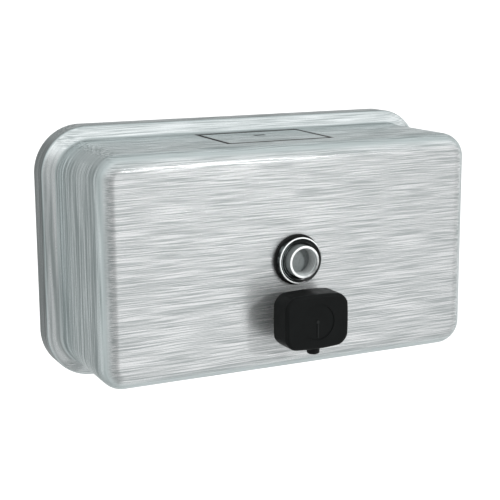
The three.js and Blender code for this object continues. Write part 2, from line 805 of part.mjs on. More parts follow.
const bossBack = glandFront - buttonTravel - 2 * gap;
const socketFront = spoutY - stemHole - stemCap;

// The button's skin: a rounded block, front edge rounded, a distance inside its outer face.
function buttonRings(inward) {
  const rings = [];
  const radius = Math.max(buttonFillet - inward, smallestFillet);
  const [halfWidth, halfHeight] = [buttonWidth / 2 - inward, buttonHeight / 2 - inward];
  for (let step = 0; step <= buttonSteps; step++) {
    const angle = step / buttonSteps * Math.PI / 2;
    const inset = radius * (1 - Math.sin(angle));
    const y = buttonFront + inward + radius * (1 - Math.cos(angle));
    const corner = Math.max(buttonCorner - inward - inset, smallestCorner);
    rings.push(outlineRing(halfWidth - inset, halfHeight - inset, corner, y, buttonBulge));
  }
  rings.push(outlineRing(halfWidth, halfHeight, buttonCorner - inward, buttonBack, buttonBulge));
  return rings.map((ring) => ring.map((point) => point.setZ(point.z + valveZ)));
}

// A hollow block with an open back; a boss inside it holds the stem and feeds the spout.
function pushButton() {
  const shell = skin([...buttonRings(0), ...buttonRings(buttonWall).reverse()]);
  const boss = rodAlongY(bossRadius, buttonFront + buttonWall / 2, bossBack, valveZ);
  const bottom = valveZ - buttonHeight / 2 + buttonWall / 2;
  const drop = rodAlongZ(dropRadius, bottom, valveZ, 0, spoutY);
  const frontTrim = block([-dropRadius, buttonFront - dropRadius, bottom], [dropRadius, buttonFront, valveZ]);
  const socket = rodAlongY(stemRadius + gap, socketFront - gap, 0, valveZ);
  const channel = rodAlongZ(stemHole, valveZ - spoutSocket - overcut, valveZ, 0, spoutY);
  const spoutHole = rodAlongZ(spoutRadius + gap, spoutEndZ, valveZ - spoutSocket + gap, 0, spoutY);
  const thumb = rodAlongY(thumbRadius, buttonFront - overcut, buttonFront + thumbDepth, valveZ);
  return cut(join(shell, boss, drop), frontTrim, socket, channel, spoutHole, thumb);
}

function plungerStem() {
  const tube = turned([
    [0, socketFront],
    [stemRadius, socketFront],
    [stemRadius, stemEnd],
    [stemBore, stemEnd],
    [stemBore, socketFront + stemCap],
    [0, socketFront + stemCap],
  ], valveZ);
  const sideHole = rodAlongZ(stemHole, valveZ - stemRadius - overcut, valveZ, 0, spoutY);
  return cut(tube, sideHole);
}

function spout() {
  const outside = rodAlongZ(spoutRadius, spoutEndZ, valveZ - spoutSocket, 0, spoutY);
  return cut(outside, rodAlongZ(spoutBore, spoutEndZ - overcut, valveZ, 0, spoutY));
}

// Carries the stem in its front socket, the outlet ball behind it and the seal in a groove outside.
function piston() {
  const outer = cylinderBore - gap;
  const groove = outer - pistonSealHeight;
  const grooveFront = stemEnd + pistonLand;
  const chamber = outletBallRadius + gap;
  return turned([
    [outletSeat, pistonBack],
    [outletSeat, seatY],
    [chamber, seatY],
    [chamber, stemEnd + gap],
    [stemRadius + gap, stemEnd + gap],
    [stemRadius + gap, pistonFront],
    [outer, pistonFront],
    [outer, grooveFront],
    [groove, grooveFront],
    [groove, grooveFront + pistonSealHeight],
    [outer, grooveFront + pistonSealHeight],
    [outer, pistonBack],
    [outletSeat, pistonBack],
  ], valveZ);
}

function pistonSeal() {
  const middle = stemEnd + pistonLand + pistonSealHeight / 2;
  const half = pistonSealHeight / 2 - gap;
  const outer = cylinderBore - gap / 2;
  return flatRing(outer - pistonSealHeight + gap, outer, middle - half, middle + half, valveZ);
}

// A compression spring round the piston's axis.
function returnSpring() {
  const start = pistonBack + gap + springWire;
  const end = spigotFace - gap - springWire;
  const centres = [];
  const steps = Math.round(springCoils * springSteps);
  for (let i = 0; i <= steps; i++) {
    const angle = i / steps * springCoils * 2 * Math.PI;
    const y = THREE.MathUtils.lerp(start, end, i / steps);
    const [x, z] = [springRadius * Math.cos(angle), springRadius * Math.sin(angle)];
    centres.push(new THREE.Vector3(x, y, valveZ + z));
  }
  const wire = new THREE.Shape();
  wire.absarc(0, 0, springWire, 0, 2 * Math.PI);
  const extrudePath = new THREE.CatmullRomCurve3(centres);
  const options = { steps, extrudePath, curveSegments: fineSteps, bevelEnabled: false };
  return solid(new THREE.ExtrudeGeometry(wire, options));
}

const outletBallY = seatY - ballRise(outletBallRadius, outletSeat);

place('push_button', pushButton(), blackPlastic());
place('plunger_stem', plungerStem(), brightSteel());
place('spout', spout(), blackPlastic());
place('piston', piston(), naturalPlastic());
place('piston_seal', pistonSeal(), softRubber());
place('outlet_ball', ball(outletBallRadius, outletBallY, valveZ), brightSteel());
place('return_spring', returnSpring(), brightSteel());

export default dispenser;
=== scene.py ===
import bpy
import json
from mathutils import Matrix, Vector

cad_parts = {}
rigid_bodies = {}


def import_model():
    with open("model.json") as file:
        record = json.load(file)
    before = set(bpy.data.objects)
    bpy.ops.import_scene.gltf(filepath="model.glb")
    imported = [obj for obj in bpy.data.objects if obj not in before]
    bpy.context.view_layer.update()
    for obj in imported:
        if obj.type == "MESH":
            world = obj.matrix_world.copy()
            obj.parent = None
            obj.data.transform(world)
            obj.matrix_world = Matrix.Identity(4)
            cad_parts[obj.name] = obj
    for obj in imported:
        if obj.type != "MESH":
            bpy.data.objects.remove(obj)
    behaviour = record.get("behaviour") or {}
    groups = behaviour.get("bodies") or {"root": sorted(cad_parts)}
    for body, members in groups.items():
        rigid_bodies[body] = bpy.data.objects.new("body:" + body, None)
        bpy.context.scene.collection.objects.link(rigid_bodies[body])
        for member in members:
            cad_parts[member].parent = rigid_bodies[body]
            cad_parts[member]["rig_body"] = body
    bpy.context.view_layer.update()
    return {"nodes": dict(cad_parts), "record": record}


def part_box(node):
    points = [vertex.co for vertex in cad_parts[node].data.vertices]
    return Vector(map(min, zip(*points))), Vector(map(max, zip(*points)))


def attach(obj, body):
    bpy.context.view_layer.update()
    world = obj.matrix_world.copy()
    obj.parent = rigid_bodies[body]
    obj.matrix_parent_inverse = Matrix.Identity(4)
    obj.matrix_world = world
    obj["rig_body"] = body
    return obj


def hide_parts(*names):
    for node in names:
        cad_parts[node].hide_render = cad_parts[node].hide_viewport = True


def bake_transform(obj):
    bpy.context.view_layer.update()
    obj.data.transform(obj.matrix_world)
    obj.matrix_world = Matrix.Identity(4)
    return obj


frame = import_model()

import json
import math

import bmesh
import bpy
from mathutils import Matrix, Vector

mm = 0.001
print("frame loaded:", len(frame["nodes"]), "nodes")


# small helpers for node materials

def newMaterial(name, color, roughness, metallic=0.0, specular=0.5):
    material = bpy.data.materials.new(name)
    material.use_nodes = True
    shader = material.node_tree.nodes["Principled BSDF"]
    shader.inputs["Base Color"].default_value = (*color, 1)
    shader.inputs["Roughness"].default_value = roughness
    shader.inputs["Metallic"].default_value = metallic
    shader.inputs["Specular IOR Level"].default_value = specular
    return material, material.node_tree, shader


def addNode(tree, kind, settings=None, **inputs):
    node = tree.nodes.new(kind)
    for name, value in (settings or {}).items():
        setattr(node, name, value)
    for name, value in inputs.items():
        socket = node.inputs[int(name[1:])] if name[0] == "_" else node.inputs[name]
        if isinstance(value, bpy.types.NodeSocket):
            tree.links.new(value, socket)
        else:
            socket.default_value = value
    return node


def mathNode(tree, operation, first, second=None):
    values = {"_0": first} if second is None else {"_0": first, "_1": second}
    return addNode(tree, "ShaderNodeMath", {"operation": operation}, **values).outputs[0]


def objectPoint(tree):
    return addNode(tree, "ShaderNodeTexCoord").outputs["Object"]


def objectNormal(tree):
    return addNode(tree, "ShaderNodeTexCoord").outputs["Normal"]


def stretchedNoise(tree, point, scale, detail=3.0, roughness=0.55, shift=(0, 0, 0)):
    mapping = addNode(tree, "ShaderNodeMapping", _0=point)
    mapping.inputs["Scale"].default_value = scale
    mapping.inputs["Location"].default_value = shift
    noise = addNode(tree, "ShaderNodeTexNoise", Vector=mapping.outputs[0])
    noise.inputs["Scale"].default_value = 1.0
    noise.inputs["Detail"].default_value = detail
    noise.inputs["Roughness"].default_value = roughness
    return noise.outputs[0]


def remap(tree, value, low, high, newLow, newHigh, smooth=False):
    settings = {"interpolation_type": "SMOOTHSTEP"} if smooth else {}
    node = addNode(tree, "ShaderNodeMapRange", settings, _0=value)
    for index, number in enumerate((low, high, newLow, newHigh)):
        node.inputs[index + 1].default_value = number
    return node.outputs[0]


def mixNumbers(tree, factor, first, second):
    return addNode(tree, "ShaderNodeMix", {"data_type": "FLOAT"}, _0=factor, _2=first, _3=second).outputs[0]


def mixColors(tree, factor, first, second, blend="MIX"):
    settings = {"data_type": "RGBA", "blend_type": blend}
    return addNode(tree, "ShaderNodeMix", settings, _0=factor, _6=first, _7=second).outputs[2]


def addBump(tree, shader, height, distance, strength=1.0):
    bump = addNode(tree, "ShaderNodeBump", Height=height)
    bump.inputs["Distance"].default_value = distance
    bump.inputs["Strength"].default_value = strength
    tree.links.new(bump.outputs[0], shader.inputs["Normal"])


# filler opening and key slot, which the steel's painted shade along the turned edges follows too

openingValues = {
    "gap": 1.1 * mm,            # round the lid
    "rear": 17.0 * mm,          # out from the wall
    "corner": 1.2 * mm,
    "slotSetback": 13.1 * mm,   # lid's rear to the key slot
    "slotReach": 3.1 * mm,
}


# brushed stainless: the grain runs along X on the front and top, up and down on the two ends,
# and round the rim and its shoulder

steelValues = {
    "color": (0.70, 0.711, 0.716),
    "darkColor": (0.36, 0.386, 0.388),
    "sideTint": (0.92, 1.0, 1.0),
    "roughness": (0.25, 0.37),
    "metallic": 0.74,
    "anisotropy": 0.5,
    "waveHeight": 0.5 * mm,     # how far the grain wanders
    "waveLength": 38 * mm,
    "grains": (                 # length, width in mm, share
        (24, 0.25, 0.86),
        (50, 0.55, 0.10),
        (140, 4.0, 0.04),
    ),
    "depthStretch": 5.0,        # the grain is this much coarser in depth, on the top and the ends
    "contrast": 0.075,
    "filletContrast": 0.15,
    "speckle": 0.5 * mm,
    "speckleShare": 0.10,
    "endLength": 1.6,           # the grain of the ends, against that of the front
    "endWidth": 0.8,
    "rimFrom": 15.4 * mm,       # out from the wall
    "rimBand": 10.0 * mm,
    "paintedLightTone": (0.66, 0.46),   # painted shade of the rim's side, along the top and at the ends
    "creasePaintedShade": 0.78,
    "creaseWidth": 1.5 * mm,
    "edgeTone": 0.72,
    "shoulderPaintedHighlight": 0.24,
    "shoulderSlope": 0.51,      # how far its normal leans up
    "grainDepth": 0.04 * mm,
    "turnedEdge": 1.35 * mm,
    "turnedShade": 0.97,        # how much of the light it loses
    "topLevel": 50.5 * mm,
}


def brushedSteel(name="brushedSteel", shift=0.0):
    v = steelValues
    material, tree, shader = newMaterial(name, v["color"], 0.36, v["metallic"])
    point = objectPoint(tree)
    normal = objectNormal(tree)
    place = addNode(tree, "ShaderNodeSeparateXYZ", _0=point)
    facing = addNode(tree, "ShaderNodeSeparateXYZ", _0=normal)
    sideways = mathNode(tree, "ABSOLUTE", facing.outputs[0])
    upward = mathNode(tree, "ABSOLUTE", facing.outputs[2])
    onRim = remap(tree, place.outputs[1], -v["rimFrom"] - 1.2 * mm, -v["rimFrom"], 0, 1, True)
    both = mathNode(tree, "ADD", mathNode(tree, "ADD", sideways, upward), 0.001)
    share = mathNode(tree, "DIVIDE", sideways, both)
    flatEnds = remap(tree, sideways, 0.25, 0.85, 0, 1, True)
    onEnds = mixNumbers(tree, onRim, flatEnds, remap(tree, share, 0.44, 0.56, 0, 1, True))

    long = 1 / v["waveLength"]
    wander = stretchedNoise(tree, point, (long, long * 2.4, long * 2.4), 2.0, 0.5, (shift, 4, 7))
    wander = mathNode(tree, "MULTIPLY", mathNode(tree, "SUBTRACT", wander, 0.5), v["waveHeight"] * 2)
    waved = addNode(tree, "ShaderNodeCombineXYZ", _1=wander, _2=wander)
    adding = {"operation": "ADD"}
    waved = addNode(tree, "ShaderNodeVectorMath", adding, _0=point, _1=waved.outputs[0]).outputs[0]

    total = None
    for index, (length, width, part) in enumerate(v["grains"]):
        along, across = 1 / (length * mm), 1 / (width * mm)
        deep = across / v["depthStretch"]
        flat = stretchedNoise(tree, waved, (along, deep, across), 1.0, 0.5, (shift + index * 3, 1, 4))
        endAlong, endAcross = along / v["endLength"], across / v["endWidth"]
        endDeep = endAcross / v["depthStretch"]
        endScale = (endAlong, endDeep, endAlong)
        upright = stretchedNoise(tree, point, endScale, 1.0, 0.5, (2, shift + index * 5, 6))
        grain = mixNumbers(tree, onEnds, flat, upright)
        grain = mathNode(tree, "MULTIPLY", mathNode(tree, "SUBTRACT", grain, 0.5), part)
        total = grain if total is None else mathNode(tree, "ADD", total, grain)
    size = 1 / v["speckle"]
    speckle = stretchedNoise(tree, point, (size, size, size), 1.0, 0.5)
    speckle = mathNode(tree, "MULTIPLY", mathNode(tree, "SUBTRACT", speckle, 0.5), v["speckleShare"])
    total = mathNode(tree, "ADD", total, speckle)
    forward = mathNode(tree, "ABSOLUTE", facing.outputs[1])
    # the drawn radii are smoother than the flats
    squareOn = mathNode(tree, "MAXIMUM", mathNode(tree, "MAXIMUM", sideways, upward), forward)
    total = mathNode(tree, "MULTIPLY", total, remap(tree, squareOn, 0.72, 0.97, v["filletContrast"], 1, True))
    tone = remap(tree, total, -v["contrast"], v["contrast"], 0, 1)
    color = mixColors(tree, tone, (*v["darkColor"], 1), (*v["color"], 1))
    tint = mixColors(tree, remap(tree, forward, 0.7, 0.99, 1, 0), (1, 1, 1, 1), (*v["sideTint"], 1))
    color = mixColors(tree, 1.0, color, tint, "MULTIPLY")

    # painted shade on the rim's side by the wall, darker at the ends than along the top
    side = remap(tree, forward, 0.25, 0.5, 1, 0, True)
    inBand = remap(tree, place.outputs[1], -v["rimBand"] - 1 * mm, -v["rimBand"], 0, 1, True)
    band = mathNode(tree, "MULTIPLY", side, inBand)
    onTop, onSide = v["paintedLightTone"]
    paintedLightTone = mixNumbers(tree, band, 1.0, remap(tree, onEnds, 0, 1, onTop, onSide))
    # painted shade in the concave crease at the foot of the shoulder
    nearCrease = mathNode(tree, "ABSOLUTE", mathNode(tree, "ADD", place.outputs[1], v["rimFrom"] + 0.4 * mm))
    creasePaintedShade = remap(tree, nearCrease, 0.3 * mm, v["creaseWidth"], v["creasePaintedShade"], 1, True)
    paintedLightTone = mathNode(tree, "MULTIPLY", paintedLightTone, creasePaintedShade)
    nearEdge = mathNode(tree, "ABSOLUTE", mathNode(tree, "ADD", place.outputs[1], v["rimBand"] + 0.7 * mm))
    edgeTone = remap(tree, nearEdge, 0.25 * mm, 0.7 * mm, v["edgeTone"], 1, True)
    paintedLightTone = mathNode(tree, "MULTIPLY", paintedLightTone, edgeTone)
    # painted highlight on the shoulder along the top, where it slopes up to the light
    lean = mathNode(tree, "ABSOLUTE", mathNode(tree, "SUBTRACT", facing.outputs[2], v["shoulderSlope"]))
    sloping = remap(tree, lean, 0.12, 0.3, 1, 0, True)
    shoulder = mathNode(tree, "MULTIPLY", mathNode(tree, "MULTIPLY", sloping, onRim), forward)
    paintedLightTone = mathNode(tree, "ADD", paintedLightTone, mathNode(tree, "MULTIPLY", shoulder, v["shoulderPaintedHighlight"]))
    # painted shade on the sheet where it turns down round the lid and the key slot, for the shadow in the
    # gaps
    lidLow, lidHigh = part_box("filler_lid")
    gap, turned = openingValues["gap"], v["turnedEdge"]
    across = mathNode(tree, "ABSOLUTE", place.outputs[0])
    rear, ahead = (lidHigh.y - openingValues["rear"]) / 2, lidLow.y - gap / 2
    lines = (
        (across, lidHigh.x + gap / 2, place.outputs[1], (rear + ahead) / 2, (rear - ahead) / 2 + gap),
        (place.outputs[1], ahead, across, 0, lidHigh.x + gap),
        (place.outputs[1], rear, across, 0, lidHigh.x + gap),
        (place.outputs[1], lidHigh.y - openingValues["slotSetback"], across, 0, openingValues["slotReach"]),
    )
    dark = None
    for value, middle, along, centre, reach in lines:
        off = mathNode(tree, "ABSOLUTE", mathNode(tree, "SUBTRACT", value, middle))
        past = mathNode(tree, "ABSOLUTE", mathNode(tree, "SUBTRACT", along, centre))
        close = mathNode(tree, "LESS_THAN", off, turned)
        line = mathNode(tree, "MULTIPLY", close, mathNode(tree, "LESS_THAN", past, reach))
        dark = line if dark is None else mathNode(tree, "MAXIMUM", dark, line)
    dark = mathNode(tree, "MULTIPLY", dark, mathNode(tree, "GREATER_THAN", place.outputs[2], v["topLevel"]))
    light = mathNode(tree, "SUBTRACT", 1.0, mathNode(tree, "MULTIPLY", dark, v["turnedShade"]))
    paintedLightTone = mathNode(tree, "MULTIPLY", paintedLightTone, light)
    tree.links.new(remap(tree, dark, 0, 1, v["metallic"], 0), shader.inputs["Metallic"])
    shade = addNode(tree, "ShaderNodeCombineXYZ", _0=paintedLightTone, _1=paintedLightTone, _2=paintedLightTone)
    tree.links.new(mixColors(tree, 1.0, color, shade.outputs[0], "MULTIPLY"), shader.inputs["Base Color"])
    smooth, rough = v["roughness"]
    tree.links.new(remap(tree, total, -0.1, 0.1, rough, smooth), shader.inputs["Roughness"])
    addBump(tree, shader, total, v["grainDepth"], 1.0)

    # highlights spread across the grain
    alongX = addNode(tree, "ShaderNodeCombineXYZ", _0=1.0)
    direction = addNode(tree, "ShaderNodeMix", {"data_type": "VECTOR"}, _0=onEnds, _4=alongX.outputs[0])
    direction.inputs[5].default_value = (0, 0, 1)
    crossing = {"operation": "CROSS_PRODUCT"}
    spread = addNode(tree, "ShaderNodeVectorMath", crossing, _0=normal, _1=direction.outputs[1])
    turn = {"vector_type": "VECTOR", "convert_from": "OBJECT", "convert_to": "WORLD"}
    spread = addNode(tree, "ShaderNodeVectorTransform", turn, _0=spread.outputs[0])
    tree.links.new(spread.outputs[0], shader.inputs["Tangent"])
    shader.inputs["Anisotropic"].default_value = v["anisotropy"]
    return material


mouldedValues = {
    "color": (0.003, 0.0035, 0.0035),
    "lightColor": (0.006, 0.0068, 0.0068),
    "roughness": (0.36, 0.50),
    "specular": 0.08,
    "pebble": 0.45 * mm,
    "pebbleDepth": 0.06 * mm,
}


def mouldedBlack():
    v = mouldedValues
    material, tree, shader = newMaterial("mouldedBlack", v["color"], 0.45, 0.0, v["specular"])
    point = objectPoint(tree)
    size = 1 / v["pebble"]
    texture = stretchedNoise(tree, point, (size, size, size), 3, 0.6)
    cloud = stretchedNoise(tree, point, (160, 160, 160), 3, 0.5)
    color = mixColors(tree, cloud, (*v["color"], 1), (*v["lightColor"], 1))
    tree.links.new(color, shader.inputs["Base Color"])
    smooth, rough = v["roughness"]
    tree.links.new(remap(tree, cloud, 0.3, 0.7, smooth, rough), shader.inputs["Roughness"])
    addBump(tree, shader, texture, v["pebbleDepth"], 0.6)
    return material


def plainFinish(
    name, color, roughness, metallic=0.0, grain=1.1 * mm, depth=0.01 * mm, variation=0.25, specular=0.5,
):
    material, tree, shader = newMaterial(name, color, roughness, metallic, specular)
    point = objectPoint(tree)
    cloud = stretchedNoise(tree, point, (180, 180, 180), 4, 0.55)
    texture = stretchedNoise(tree, point, (1 / grain, 1 / grain, 1 / grain), 3, 0.6)
    darker = tuple(channel * (1 - variation) for channel in color)
    tree.links.new(mixColors(tree, cloud, (*darker, 1), (*color, 1)), shader.inputs["Base Color"])
    rough = remap(tree, texture, 0.3, 0.7, roughness * 0.8, roughness * 1.2)
    tree.links.new(rough, shader.inputs["Roughness"])
    addBump(tree, shader, texture, depth, 0.5)
    return material


def galvanisedFinish():
    material, tree, shader = newMaterial("galvanised", (0.5, 0.52, 0.53), 0.45, 0.9)
    point = objectPoint(tree)
    cells = addNode(tree, "ShaderNodeTexVoronoi", Vector=point)
    cells.inputs["Scale"].default_value = 210
    spangle = addNode(tree, "ShaderNodeSeparateColor", _0=cells.outputs["Color"]).outputs[0]
    cloud = stretchedNoise(tree, point, (300, 300, 300), 3, 0.6)
    blended = mixNumbers(tree, 0.45, spangle, cloud)
    color = mixColors(tree, blended, (0.36, 0.385, 0.40, 1), (0.60, 0.62, 0.63, 1))
    tree.links.new(color, shader.inputs["Base Color"])
    tree.links.new(remap(tree, blended, 0.2, 0.8, 0.34, 0.56), shader.inputs["Roughness"])
    addBump(tree, shader, cloud, 0.02 * mm, 0.4)
    return material


steel = brushedSteel()
lidSteel = brushedSteel("lidSteel", 11.0)
black = mouldedBlack()
# dull inner steel, darkened as painted shade inside the tank and in the gaps round the lid
innerSteelPaintedShade = plainFinish("innerSteelPaintedShade", (0.16, 0.17, 0.17), 0.5, 0.7, 3 * mm, specular=0.2)
dullSteel = plainFinish("dullSteel", (0.42, 0.44, 0.44), 0.42, 0.8, 3 * mm, specular=0.3)
# near-black painted shade for the sheet's edges round the lid and the key slot
gapPaintedShade = plainFinish("gapPaintedShade", (0.012, 0.013, 0.013), 0.6, 0.0, specular=0.1)
# a slightly lighter black as a painted highlight on the button's thumb rest
blackPaintedHighlight = plainFinish("blackPaintedHighlight", (0.011, 0.0125, 0.0125), 0.45, specular=0.2)
rubber = plainFinish("rubber", (0.010, 0.010, 0.010), 0.6, specular=0.2)
glossBlack = plainFinish("glossBlack", (0.004, 0.0045, 0.005), 0.12, 0.0, 2.5 * mm, 0.004 * mm, specular=0.3)
galvanised = galvanisedFinish()
brightSteel = plainFinish("brightSteel", (0.62, 0.63, 0.64), 0.25, 1.0)
naturalPlastic = plainFinish("naturalPlastic", (0.66, 0.64, 0.57), 0.4)
lensWall = plainFinish("lensWall", (0.36, 0.39, 0.39), 0.16)
# pale rib tips in the lens as painted highlights
lensRib = plainFinish("lensRib", (0.86, 0.88, 0.88), 0.15)
lensFloor = plainFinish("lensFloor", (0.19, 0.21, 0.21), 0.3)
print("finishes made")


# helpers for the pieces

def addPiece(name, mesh, materials, body, nodes, smooth=32):
    piece = bpy.data.objects.new(name, mesh)
    bpy.context.scene.collection.objects.link(piece)
    for material in materials:
        mesh.materials.append(material)
    mesh.shade_smooth()
    mesh.set_sharp_from_angle(angle=math.radians(smooth))
    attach(piece, body)
    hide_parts(*nodes)
    return piece


def meshFrom(name, bm, recalc=True):
    bmesh.ops.remove_doubles(bm, verts=bm.verts, dist=0.0005 * mm)
    if recalc:
        bmesh.ops.recalc_face_normals(bm, faces=bm.faces)
    mesh = bpy.data.meshes.new(name)
    bm.to_mesh(mesh)
    bm.free()
    return mesh


# a loop in the plane of the panel: a circle whose quarters are moved apart to the corners of a rectangle
def roundedLoop(bm, halfWidth, halfHeight, radius, y, perCorner, z=0.0):
    segments = perCorner * 4
    ring = bmesh.ops.create_circle(bm, segments=segments, radius=radius)["verts"]
    turn = Matrix.Rotation(math.pi / segments, 4, "Z")
    bmesh.ops.transform(bm, matrix=Matrix.Rotation(math.pi / 2, 4, "X") @ turn, verts=ring)
    for sideX in (-1, 1):
        for sideZ in (-1, 1):
            quarter = [vert for vert in ring if vert.co.x * sideX > 0 and vert.co.z * sideZ > 0]
            offset = Vector((sideX * (halfWidth - radius), 0, sideZ * (halfHeight - radius)))
            bmesh.ops.translate(bm, vec=offset, verts=quarter)
    bmesh.ops.translate(bm, vec=(0, y, z), verts=ring)
    return ring


def edgesOf(verts):
    inside = set(verts)
    near = {edge for vert in verts for edge in vert.link_edges}
    return [edge for edge in near if set(edge.verts) <= inside]


def bridge(bm, first, second):
    bmesh.ops.bridge_loops(bm, edges=edgesOf(first) + edgesOf(second))


def roundEdges(bm, edges, offset, segments):
    return bmesh.ops.bevel(
        bm, geom=edges, offset=offset, offset_type="OFFSET", segments=segments, profile=0.5,
        affect="EDGES", material=-1, clamp_overlap=False,
    )


def edgesAt(bm, y):
    return [edge for edge in bm.edges if all(abs(vert.co.y - y) < 0.01 * mm for vert in edge.verts)]


# a closed profile of (radius, y) points turned about a Y axis at a height z
def turnedMesh(name, profile, z, steps=96):
    bm = bmesh.new()
    verts = [bm.verts.new((radius, y, 0)) for radius, y in profile]
    for first, second in zip(verts, verts[1:] + verts[:1]):
        bm.edges.new((first, second))
    bmesh.ops.spin(
        bm, geom=bm.verts[:] + bm.edges[:], cent=(0, 0, 0), axis=(0, 1, 0), dvec=(0, 0, 0),
        angle=math.tau, steps=steps, use_merge=True, use_duplicate=False,
    )
    bmesh.ops.translate(bm, vec=(0, 0, z), verts=bm.verts)
    return meshFrom(name, bm)


# gives each face the material that the rule names for its middle and its normal
def paintFaces(mesh, rule):
    for face in mesh.polygons:
        face.material_index = rule(face.center, face.normal)


def centreOf(node):
    low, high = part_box(node)
    return (low + high) / 2


def cylinderMesh(name, radius, start, end, steps=96):
    bm = bmesh.new()
    start, end = Vector(start), Vector(end)
    turn = (end - start).to_track_quat("Z", "Y").to_matrix().to_4x4()
    bmesh.ops.create_cone(
        bm, cap_ends=True, segments=steps, radius1=radius, radius2=radius, depth=(end - start).length,
        matrix=Matrix.Translation((start + end) / 2) @ turn,
    )
    return meshFrom(name, bm)


def blockMesh(name, low, high, corner=0.0):
    bm = bmesh.new()
    low, high = Vector(low), Vector(high)
    size = high - low
    place = Matrix.Translation((low + high) / 2) @ Matrix.Diagonal((*size, 1))
    bmesh.ops.create_cube(bm, size=1, matrix=place)
    if corner:
        def upright(edge):
            first, second = edge.verts
            return abs(first.co.z - second.co.z) > size.z / 2

        roundEdges(bm, [edge for edge in bm.edges if upright(edge)], corner, 4)
    return meshFrom(name, bm)


# runs boolean tools over a mesh and gives back the finished mesh
def carve(name, mesh, cutters, additions=(), wall=0.0):
    body = bpy.data.objects.new(name + "Blank", mesh)
    bpy.context.scene.collection.objects.link(body)
    if wall:
        thickness = body.modifiers.new("wall", "SOLIDIFY")
        thickness.thickness = wall
        thickness.offset = -1
        thickness.use_even_offset = True
        thickness.use_rim = True
        thickness.material_offset = 1
    tools = []
    for operation, meshes in (("UNION", additions), ("DIFFERENCE", cutters)):
        for shape in meshes:
            tool = bpy.data.objects.new(shape.name, shape)
            bpy.context.scene.collection.objects.link(tool)
            step = body.modifiers.new("step", "BOOLEAN")
            step.operation = operation
            step.solver = "EXACT"
            step.object = tool
            tools.append(tool)
    bpy.context.view_layer.update()
    carved = bpy.data.meshes.new_from_object(body.evaluated_get(bpy.context.evaluated_depsgraph_get()))
    carved.name = name
    carved.materials.clear()
    for used in tools + [body]:
        bpy.data.objects.remove(used)
    return carved


# tank shell

tankValues = {
    "sheet": 1.0 * mm,
    "rimDepth": 11.3 * mm,
    "rimCorner": 22.7 * mm,
    "rimEdge": 1.6 * mm,
    "shoulderStep": 6.6 * mm,
    "shoulderDepth": 3.9 * mm,
    "shoulderFillet": 2.5 * mm,
    "draft": 0.85 * mm,
    "frontCorner": 11.5 * mm,
    "frontFillet": 8.1 * mm,
    "perCorner": 18,
    "holeGap": 0.3 * mm,
    "windowSleeve": 1.7 * mm,   # lens to the outside of the bezel's sleeve
    "valveRadius": 8 * mm,
    "lockHole": 1.8 * mm,
    "innerMargin": 2 * mm,      # round the lid, where edges of the opening count as inside
}


def tankShell():
    v = tankValues
    low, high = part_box("tank_shell")
    halfWidth, halfHeight, front = (high.x - low.x) / 2, (high.z - low.z) / 2, low.y
    rootY = -v["rimDepth"] - v["shoulderDepth"]
    rootCorner = v["rimCorner"] - v["shoulderStep"]
    inset = v["shoulderStep"] + v["draft"]
    n = v["perCorner"]
    bm = bmesh.new()
    loops = [
        roundedLoop(bm, halfWidth, halfHeight, v["rimCorner"], 0, n),
        roundedLoop(bm, halfWidth, halfHeight, v["rimCorner"], -v["rimDepth"], n),
        roundedLoop(bm, halfWidth - v["shoulderStep"], halfHeight - v["shoulderStep"], rootCorner, rootY, n),
        roundedLoop(bm, halfWidth - inset, halfHeight - inset, v["frontCorner"], front, n),
    ]
    for first, second in zip(loops, loops[1:]):
        bridge(bm, first, second)
    bmesh.ops.contextual_create(bm, geom=loops[3])
    # each edge is rounded by its radius times the tangent of half its turn
    turn = math.tan(math.atan2(v["shoulderStep"], v["shoulderDepth"]) / 2)
    roundEdges(bm, edgesAt(bm, rootY), v["shoulderFillet"] * turn, 6)
    roundEdges(bm, edgesAt(bm, -v["rimDepth"]), v["rimEdge"] * turn, 5)
    roundEdges(bm, edgesAt(bm, front), v["frontFillet"], 14)
    skin = meshFrom("tankSkin", bm)
    skin.materials.append(steel)
    skin.materials.append(innerSteelPaintedShade)

    window, valve, lock = centreOf("window_lens"), centreOf("valve_cylinder"), centreOf("lock_screw")
    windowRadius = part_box("window_lens")[1].x + v["windowSleeve"] + v["holeGap"]
    valveRadius = v["valveRadius"] + v["holeGap"]
    inside, outside = front + 4 * mm, front - 4 * mm
    below, above = -halfHeight - 2 * mm, -halfHeight + 4 * mm
    lidLow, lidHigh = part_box("filler_lid")
    gap, rear, margin = openingValues["gap"], openingValues["rear"], v["innerMargin"]
    tools = [
        cylinderMesh("windowHole", windowRadius, (0, inside, window.z), (0, outside, window.z)),
        cylinderMesh("valveHole", valveRadius, (0, inside, valve.z), (0, outside, valve.z)),
        cylinderMesh("lockHole", v["lockHole"], (0, lock.y, below), (0, lock.y, above)),
        blockMesh(
            "fillerHole", (lidLow.x - gap, lidLow.y - gap, halfHeight / 2),
            (lidHigh.x + gap, -rear, halfHeight * 2), openingValues["corner"],
        ),
    ]
    mesh = carve("tankShell", skin, tools, wall=v["sheet"])
    # the outer skin is brushed; the inside and the cut edges of the openings are dull, and dark as painted
    # shade
    openings = ((window.z, windowRadius), (valve.z, valveRadius))

    def finish(middle, normal):
        atFront = any(math.hypot(middle.x, middle.z - z) < radius + 0.05 * mm for z, radius in openings)
        across = lidLow.x - margin < middle.x < lidHigh.x + margin
        deep = lidLow.y - margin < middle.y < -rear + 0.1 * mm
        atLid = middle.z > halfHeight / 2 and abs(normal.z) < 0.3 and across and deep
        return 1 if atFront or atLid else 0

    for face in mesh.polygons:
        face.material_index = max(face.material_index, finish(face.center, face.normal))
    piece = addPiece("tankShell", mesh, [steel, innerSteelPaintedShade], "dispenser", ["tank_shell"], 40)
    even = piece.modifiers.new("evenShading", "WEIGHTED_NORMAL")
    even.keep_sharp = True


tankShell()
print("tank made")


# pieces whose CAD shape is right get their edges broken

